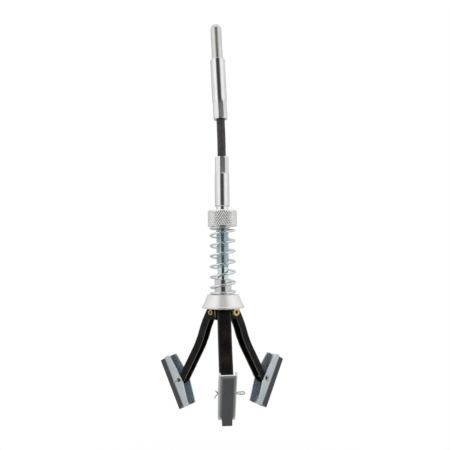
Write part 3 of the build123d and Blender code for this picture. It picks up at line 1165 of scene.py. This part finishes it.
@dataclass
class LoadUnit:
    """Knurled tension nut, load spring and thrust cone."""

    nut_d: float = 15.7
    nut_top: float = 54.4
    nut_bottom: float = 45.86
    nut_bore_d: float = 7.2
    nut_edge: float = 0.45
    nut_edge_height: float = 0.75
    nut_foot_edge: float = 0.12
    teeth: int = 37
    tooth_rise: float = 1.8
    tooth_depth: float = 0.22
    tooth_columns: int = 6
    knurl_rows: int = 46
    wave_start: float = 20.0
    tooth_gain: float = 2.0
    knurl_fade: float = 0.35
    nut_weld: float = 0.002
    nut_sharp: float = 40.0
    spring_d: float = 14.0
    wire_d: float = 1.2
    turns: float = 6.0
    end_turns: float = 0.75
    turn_blend: float = 0.4
    phase: float = 126.0
    gap: float = 0.02
    coil_steps: int = 32
    split_z: float = 15.0
    seam_half: float = 0.4
    shoulder_z: float = 9.36
    shoulder_d: float = 16.7
    cone_angle: float = 23.0
    boss_d: float = 9.0
    boss_top: float = 17.45
    rim_z: float = 2.25
    lip_height: float = 1.05
    lip: float = 0.4
    pad_d: float = 12.0
    pad_z: float = 1.7
    cone_bore: float = 2.9
    cone_hollow: float = 0.6

    def knurl(self) -> bpy.types.Mesh:
        """The nut's diamond-knurled side. Whole periods are added to both waves, to keep them above zero."""
        low, high = self.nut_bottom + self.nut_foot_edge, self.nut_top - self.nut_edge_height
        rule = GeometryRule("nut_knurl", {
            "Radius": self.nut_d / 2 * MM,
            "Depth": self.tooth_depth * MM,
            "Bottom": low * MM,
            "Height": (high - low) * MM,
            "Teeth": self.teeth,
            "Rises": (high - low) / self.tooth_rise,
            "Columns": self.teeth * self.tooth_columns + 1,
            "Rows": self.knurl_rows,
        })
        grid, around, up = rule.sheet()
        right = (around * rule.size("Teeth") + up * rule.size("Rises") + self.wave_start).ripple()
        left = (around * rule.size("Teeth") - up * rule.size("Rises") + self.wave_start).ripple()
        tooth = right.math("MINIMUM", right, left)
        shaped = (tooth * self.tooth_gain).between(0.0, 1.0)
        edge = ((0.5 - abs(up - 0.5)) * (high - low)).between(0.0, self.knurl_fade)
        groove = (1.0 - shaped) * edge
        radius = rule.size("Radius") - rule.size("Depth") * groove
        height = rule.size("Bottom") + up * rule.size("Height")
        # The grooves are stored as low, where the nut's finish paints shade.
        masked = rule.node(
            "GeometryNodeStoreNamedAttribute", {"data_type": "FLOAT", "domain": "POINT"},
            {"Geometry": grid, "Name": "low", "Value": groove},
        )
        return rule.made(rule.rolled(masked, around, radius, height), Palette.NUT.value.material())

    def nut(self) -> None:
        """The nut: knurled side, chamfered ends and bore, closed into one mesh."""
        outer, bore, edge, foot = self.nut_d / 2, self.nut_bore_d / 2, self.nut_edge, self.nut_foot_edge
        top, bottom, shoulder = self.nut_top, self.nut_bottom, self.nut_top - self.nut_edge_height
        ends = lathe("nut_ends", [
            (outer, shoulder),
            *rounded([
                (outer - 0.02, shoulder + 0.04), (outer - edge, top),
                (bore + 0.5, top), (bore, top - 0.5),
            ], 0.1),
            *rounded([
                (bore, bottom + 0.5), (bore + 0.5, bottom), (outer - foot, bottom),
                (outer - 0.01, bottom + foot - 0.01),
            ], 0.05),
            (outer, bottom + foot),
        ], segments=self.teeth * self.tooth_columns)
        side = self.knurl()
        whole = bpy.data.meshes.new("nut_knurled")
        with edited(whole) as work:
            work.from_mesh(ends)
            caps = [face for face in work.faces if len(face.verts) > 4]
            bmesh.ops.delete(work, geom=caps, context="FACES_ONLY")
            work.from_mesh(side)
            bmesh.ops.remove_doubles(work, verts=work.verts, dist=self.nut_weld * MM)
            bmesh.ops.recalc_face_normals(work, faces=work.faces)
        whole.shade_smooth()
        whole.set_sharp_from_angle(angle=math.radians(self.nut_sharp))
        piece("nut_knurled", whole, Palette.NUT, Matrix(), ["tension_nut"], "nut")

    def coil(self) -> np.ndarray:
        """Centre line of the spring, in millimetres."""
        total = self.turns + 2 * self.end_turns
        count = round(total * self.coil_steps)
        bottom = self.shoulder_z + self.wire_d / 2 + self.gap
        top = self.nut_bottom - self.wire_d / 2 - self.gap
        middle = (np.arange(count) + 0.5) * total / count
        near = np.minimum(middle, total - middle) - self.end_turns
        opening = np.clip(0.5 + near / self.turn_blend, 0, 1)
        open_rise = (top - bottom - total * self.wire_d) / opening.sum()
        rises = total * self.wire_d / count + open_rise * opening
        height = bottom + np.concatenate([[0], np.cumsum(rises)])
        angle = math.radians(self.phase) + TURN * total * np.arange(count + 1) / count
        radius = (self.spring_d - self.wire_d) / 2
        return np.stack([radius * np.cos(angle), radius * np.sin(angle), height], axis=1)

    def spring(self) -> None:
        """The spring in two lengths, split where the coil passes split_z."""
        line = self.coil()
        split = int(np.argmax(line[:, 2] > self.split_z))
        seam, half = float(line[split, 2]), self.seam_half
        bottom, top = self.shoulder_z + self.wire_d, self.nut_bottom - self.wire_d
        lengths = (
            ("spring_lower", line[:split + 1], "cone", "spindle_body", bottom, seam - half),
            ("spring_upper", line[split:], "spindle_body", "spring_carrier", seam + half, top),
        )
        for name, path, first, second, start, end in lengths:
            mesh = tube(name, path, disc(self.wire_d / 2, 14))
            made = piece(name, mesh, Palette.SPRING, Matrix(), ["spring"], None)
            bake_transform(made)

    def cone(self) -> None:
        """The thrust cone with its boss, rim lip and centre pad."""
        drop = self.shoulder_z - self.rim_z - self.lip_height
        root = self.shoulder_d / 2 + drop * math.tan(math.radians(self.cone_angle))
        rim, hollow, lip_top = root + self.lip, self.rim_z + self.cone_hollow, self.shoulder_z - drop
        bore, boss, pad = self.cone_bore, self.boss_d / 2, self.pad_d / 2
        profile = rounded([
            (bore, self.boss_top), (boss - 0.3, self.boss_top), (boss, self.boss_top - 0.3),
            (boss, self.shoulder_z), (self.shoulder_d / 2, self.shoulder_z), (root, lip_top),
            (rim, lip_top - 0.22), (rim, self.rim_z), (root - 0.9, self.rim_z), (root - 1.5, hollow),
            (pad + 0.5, hollow), (pad, self.pad_z), (bore, self.pad_z),
        ], 0.14, closed=True)
        mesh = lathe("cone_turned", profile, closed=True, segments=128)
        piece("cone_turned", mesh, Palette.CONE, Matrix(), ["thrust_cone"], "cone")

    def build(self) -> None:
        """Makes the nut, the spring and the cone."""
        self.nut()
        self.spring()
        self.cone()


@dataclass
class Leg:
    """One arm with its pivot eyelet, split pin, stone holder and stone.

    Attributes:
        name: front, right or left.
        azimuth: direction of the leg round the spindle.
        lean: lean of the stone holder.
        pin_turn: turn of the split pin about its own axis.
    """

    name: str
    azimuth: float
    lean: float
    pin_turn: float = 0.0
    pivot: float = 5.34
    heel: Point = (8.4, 1.65)
    tilts: Point = (27.5, 17.0, 28.7)
    runs: Point = (7.72, 10.25, 24.13)
    bend_spread: float = 10.0
    bend_cuts: int = 11
    flange_rub_and_highlight: float = 0.6
    arm_ease: float = 0.18
    holder_ease: float = 0.1
    stone_ease: float = 0.12
    pin_bend: float = 0.55
    pin_hole_d: float = 1.28
    worn_hole_d: float = 2.1
    web_half: float = 2.55
    pin_reach: float = 25.391
    pin_z: float = -36.799
    ear_outer: float = 4.55
    eyelet_tube_d: float = 1.9
    eyelet_bore_d: float = 1.4
    eyelet_head_d: float = 4.0
    eyelet_roll_d: float = 2.45
    eyelet_sheet: float = 0.25
    holder_outer: float = 4.3
    holder_inner: float = 3.55
    holder_face: float = 3.4
    pin_wire_d: float = 0.62
    pin_gap: float = 0.15
    eye_length: float = 4.4
    eye_width: float = 2.3
    leg_short: float = 2.0
    leg_long: float = 2.9
    leg_spread: float = 62.0
    foot_rise: float = 1.2
    stone_width: float = 4.95

    def __post_init__(self) -> None:
        """Works out where the leg and its shoe stand."""
        self.frame = turned(self.azimuth, "Z")
        self.shoe = self.frame @ moved(self.pin_reach, 0, self.pin_z) @ turned(self.lean, "Y")

    def eased(self, mesh: bpy.types.Mesh) -> None:
        """Spreads the arm's two bends over a longer way."""
        half = self.bend_spread / 2
        corner = Vector((self.heel[0], 0, self.heel[1]))
        back, spin = self.frame.inverted(), self.frame.to_3x3()
        with edited(mesh) as work:
            for index, run in enumerate(self.runs[:-1]):
                before, after = (math.radians(tilt) for tilt in self.tilts[index:index + 2])
                corner += Vector((math.sin(before), 0, -math.cos(before))) * run
                middle = (before + after) / 2
                along = Vector((math.sin(middle), 0, -math.cos(middle)))
                across = Vector((math.cos(middle), 0, math.sin(middle)))
                for step in np.linspace(-half, half, self.bend_cuts):
                    bmesh.ops.bisect_plane(
                        work, geom=work.verts[:] + work.edges[:] + work.faces[:], dist=SAME_PLACE,
                        plane_co=self.frame @ ((corner + along * step) * MM), plane_no=spin @ along,
                    )
                slope = math.tan((after - before) / 2)
                for vertex in work.verts:
                    way = (back @ vertex.co / MM - corner).dot(along)
                    shift = across * (slope * max(half - abs(way), 0) ** 2 / 2 / half)
                    vertex.co += spin @ shift * MM
            triangulated(work)

    def arm(self) -> None:
        """The black channel arm, with paler free edges on its flanges: rubbed wear and a painted highlight.
        """
        node = f"arm_{self.name}"
        mesh = soft_copy(node, self.arm_ease)
        self.eased(mesh)
        back = self.frame.inverted()
        across = back.to_3x3()
        # The flanges' inward free edges get the paler edge colour: wear and a painted highlight.
        for face, mark in zip(mesh.polygons, mesh.attributes["edge"].data):
            on_flange = abs((back @ face.center).y) > self.web_half * MM
            if on_flange and (across @ face.normal).x < -0.6:
                mark.value = max(mark.value, self.flange_rub_and_highlight)
        piece(f"channel_{self.name}", mesh, Palette.BLACK, Matrix(), [node], node)

    def eyelet(self) -> None:
        """The brass eyelet: flared head on one side, rolled end on the other."""
        out, sheet = self.ear_outer, self.eyelet_sheet
        bore, tube_r = self.eyelet_bore_d / 2, self.eyelet_tube_d / 2
        head, roll = self.eyelet_head_d / 2, self.eyelet_roll_d / 2
        profile = rounded([
            (bore, -out + 0.35), (bore + 0.18, -out - sheet), (head, -out - sheet), (head, -out),
            (tube_r, -out), (tube_r, out), (roll, out), (roll, out + sheet), (bore + 0.08, out + sheet),
            (bore, out - 0.1),
        ], 0.16, closed=True, steps=5)
        mesh = lathe(f"eyelet_{self.name}", profile, closed=True, segments=48)
        place = self.frame @ moved(self.pivot, 0, 0) @ turned(-90, "X")
        node = f"pivot_eyelet_{self.name}"
        piece(f"eyelet_{self.name}", mesh, Palette.BRASS, place, [node], "spindle_body")

    def split_pin(self) -> None:
        """The split pin, bent from one length of wire."""
        radius = self.pin_wire_d / 2
        near = self.holder_outer + self.pin_gap
        half_eye = self.eye_width / 2 - radius
        turn_y = -self.holder_outer - 0.7 * self.pin_wire_d
        spread = math.radians(self.leg_spread)
        corners = []
        for side, length in ((1, self.leg_short), (-1, self.leg_long)):
            half = side * radius
            foot = (turn_y - length * math.cos(spread), half + side * length * math.sin(spread))
            corners.append([foot, (turn_y, half), (near + 0.25, half), (near + 1.0, side * half_eye)])
        loop = [
            (near + self.eye_length - radius - half_eye + half_eye * math.sin(a), half_eye * math.cos(a))
            for a in np.linspace(0, math.pi, 13)
        ]
        first, second = (rounded(leg, self.pin_bend, steps=6)[:-1] for leg in corners)
        line = first + loop + second[::-1]
        path = np.array([(0.0, y, z) for y, z in line])
        mesh = tube(f"split_pin_{self.name}", path, disc(radius, 12))
        place = self.shoe @ turned(self.pin_turn, "Y")
        node = f"cotter_pin_{self.name}"
        piece(f"split_pin_{self.name}", mesh, Palette.PIN, place, [node], f"pin_{self.name}")

    def holder(self) -> None:
        """The zinc plated stone holder, with worn pin holes and the faces inside its trough marked for
        painted shade and painted reflection.
        """
        node = f"stone_holder_{self.name}"
        mesh = soft_copy(node, self.holder_ease)
        back = self.shoe.inverted()
        across = back.to_3x3()
        for vertex in mesh.vertices:
            spot = back @ vertex.co / MM
            off = math.hypot(spot.x, spot.z)
            if off < self.pin_hole_d / 2 + 0.15:
                wider = 1 + (self.worn_hole_d - self.pin_hole_d) / 2 / off
                vertex.co = self.shoe @ (Vector((spot.x * wider, spot.y, spot.z * wider)) * MM)
        # Faces inside the trough are marked for the painted shade and painted reflection.
        marked = []
        for face in mesh.polygons:
            spot = back @ face.center / MM
            way = across @ face.normal
            in_flange = way.y * spot.y < -0.5 * abs(spot.y)
            on_web = way.x < -0.7 and abs(spot.y) < self.holder_inner - 0.1
            marked.append(float(in_flange or on_web))
        store(mesh, "marked", "FACE", marked)
        piece(f"holder_{self.name}", mesh, Palette.HOLDER, Matrix(), [node], f"shoe_{self.name}")

    def stone(self) -> None:
        """The abrasive stone, browner on its sides next to the holder."""
        node = f"stone_{self.name}"
        mesh = soft_copy(node, self.stone_ease)
        back = self.shoe.inverted()
        spots = [back @ vertex.co / MM for vertex in mesh.vertices]
        side = self.stone_width / 2 - 0.2
        rises = [1.0 - (spot.x - self.holder_face) / self.foot_rise for spot in spots]
        store(mesh, "foot", "POINT", [
            max(rise, 0.0) if abs(spot.y) > side else 0.0 for spot, rise in zip(spots, rises)
        ])
        place = mesh.attributes.new("shoe_place", "FLOAT_VECTOR", "POINT")
        for mark, spot in zip(place.data, spots):
            mark.vector = spot
        piece(f"abrasive_{self.name}", mesh, Palette.STONE, Matrix(), [node], f"shoe_{self.name}")

    def build(self) -> None:
        """Makes the leg's pieces."""
        self.arm()
        self.eyelet()
        self.split_pin()
        self.holder()
        self.stone()


@dataclass
class Hub:
    """The pressed hub plate with its ears."""

    ease: float = 0.12

    def build(self) -> None:
        """Dresses the hub, whose edges get neither the worn colour nor the painted highlight."""
        mesh = soft_copy("hub", self.ease)
        mesh.attributes.remove(mesh.attributes["edge"])
        piece("hub_plate", mesh, Palette.BLACK, Matrix(), ["hub"], "spindle_body")


@dataclass
class Studio:
    """Camera, lamps, backdrop and floor."""

    camera_at: Point = (1.399, -298.9, 24.97)
    pitch: float = 4.140
    roll: float = 0.584
    yaw: float = 3.580
    focal_px: float = 555.4
    image_px: float = 450.0
    sensor: float = 36.0
    floor_z: float = -125.0
    gap_shift: float = 1.5
    gap_edges: tuple[float, float] = (19.0, 37.0)
    gap_colour: Point = (0.085, 0.075, 0.067)
    back_dim: float = 0.35
    fill: float = 0.95
    floor_in_metal: float = 0.55
    under: tuple[float, float] = (0.08, 0.3)
    white_from: float = 0.05
    white_to: float = 0.24
    gap_fade: tuple[float, float] = (0.65, 0.95)
    behind: tuple[float, float] = (0.3, 1.0)
    sky: Point = (0.965, 0.985, 1.0)
    floor_tone: Point = (0.93, 0.97, 1.0)
    floor_white: float = 0.45
    lamp_aim: Point = (0.0, 0.0, 0.03)

    def camera(self) -> None:
        """Sets the camera where the photograph was taken."""
        data = bpy.data.cameras.new("camera")
        data.sensor_width = self.sensor
        data.lens = self.focal_px / self.image_px * self.sensor
        data.clip_start = 0.01
        seen = shown("camera", data)
        spin = turned(-self.yaw, "Z")
        aim = turned(90 + self.pitch, "X") @ turned(-self.roll, "Z")
        seen.matrix_world = spin @ moved(*self.camera_at) @ aim
        bpy.context.scene.camera = seen

    def gap(self, x: Link, y: Link) -> Link:
        """The dark gap in the surroundings where the camera stands.

        Args:
            x: where a ray goes, along X.
            y: where it goes, along Y.

        Returns:
            A number that is 1 in the gap.
        """
        gap_at = math.radians(-90 - self.yaw + self.gap_shift)
        toward = (x * math.cos(gap_at) + y * math.sin(gap_at)) / (x * x + y * y) ** 0.5
        inner, outer = (math.cos(math.radians(angle)) for angle in self.gap_edges)
        return toward.between(outer, inner)

    def backdrop(self) -> None:
        """White world. Polished metal sees it dimmer behind the hone, and dark in the gap at the camera."""
        world = bpy.data.worlds.new("backdrop")
        world.use_nodes = True
        bpy.context.scene.world = world
        graph = Graph(world.node_tree)
        x, y, z = graph.split(graph.node("ShaderNodeTexCoord", {}, {}, "Generated"))
        gap = self.gap(x, y) * (1.0 - z.between(*self.gap_fade))
        behind = (y / (x * x + y * y) ** 0.5).between(*self.behind)
        bright = 1.0 - behind * self.back_dim
        camera, glossy = graph.rays()
        seen = graph.blend(gap, self.sky, self.gap_colour)
        tone = graph.blend(camera, graph.blend(glossy, WHITE, seen), WHITE)
        strength = camera + (1.0 - camera) * (glossy * bright + (1.0 - glossy) * self.fill)
        lit = graph.node("ShaderNodeBackground", {}, {"Color": tone, "Strength": strength})
        graph.raw("ShaderNodeOutputWorld", {}, {"Surface": lit})

    def lamps(self) -> None:
        """Soft boxes at both sides and above."""
        for name, spot, size, power in (
            ("lamp_left", (-0.55, -0.35, 0.3), 0.5, 0.25),
            ("lamp_right", (0.55, -0.3, 0.25), 0.5, 0.2),
            ("lamp_top", (0.0, 0.1, 0.75), 0.6, 0.35),
        ):
            data = bpy.data.lights.new(name, "AREA")
            data.energy = power
            data.size = size
            lamp = shown(name, data)
            lamp.location = spot
            way = Vector(self.lamp_aim) - Vector(spot)
            lamp.rotation_euler = way.to_track_quat("-Z", "Y").to_euler()

    def floor(self) -> None:
        """Pale floor below the hanging hone, white to the camera but for its shadow."""
        mesh = bpy.data.meshes.new("floor")
        with edited(mesh) as work:
            bmesh.ops.create_circle(work, cap_ends=True, radius=2.5, segments=64)
        mesh.transform(moved(0, 0, self.floor_z))
        graph = ShaderGraph("pale_floor")
        x, y, _ = graph.axes()
        distance = (x * x + y * y) ** 0.5
        far = distance.between(self.white_from, self.white_to)
        camera, glossy = graph.rays()
        matt = graph.node("ShaderNodeBsdfDiffuse", {}, {"Color": (0.93, 0.93, 0.93, 1.0)})
        white = graph.node("ShaderNodeEmission", {}, {"Color": (*WHITE, 1.0), "Strength": 1.0})
        away = distance.between(*self.under)
        tone = graph.blend(self.gap(x, y) * away, self.floor_tone, self.gap_colour)
        grey = graph.node("ShaderNodeEmission", {}, {"Color": tone, "Strength": self.floor_in_metal})
        share = self.floor_white + far * (1.0 - self.floor_white)
        direct = graph.node("ShaderNodeMixShader", {}, {0: camera * share, 1: matt, 2: white})
        mix = graph.node("ShaderNodeMixShader", {}, {0: glossy, 1: direct, 2: grey})
        graph.raw("ShaderNodeOutputMaterial", {}, {"Surface": mix})
        mesh.materials.append(graph.material)
        shown("floor", mesh)

    def build(self) -> None:
        """Sets up the studio."""
        bpy.context.scene.view_settings.view_transform = "Standard"
        self.camera()
        self.backdrop()
        self.lamps()
        self.floor()


def main() -> None:
    """Builds the studio and every sub-assembly."""
    logging.basicConfig(level=logging.INFO, format="%(name)s %(message)s")
    Studio().build()
    assemblies = [DriveLine(), Spindle(), LoadUnit(), Hub()]
    assemblies += [
        Leg("front", -90.0, 32.5),
        Leg("right", 30.0, 27.0, 130.0),
        Leg("left", 150.0, 25.4, 110.0),
    ]
    for assembly in assemblies:
        LOG.info("building %s", type(assembly).__name__)
        assembly.build()


if __name__ == "__main__":
    main()
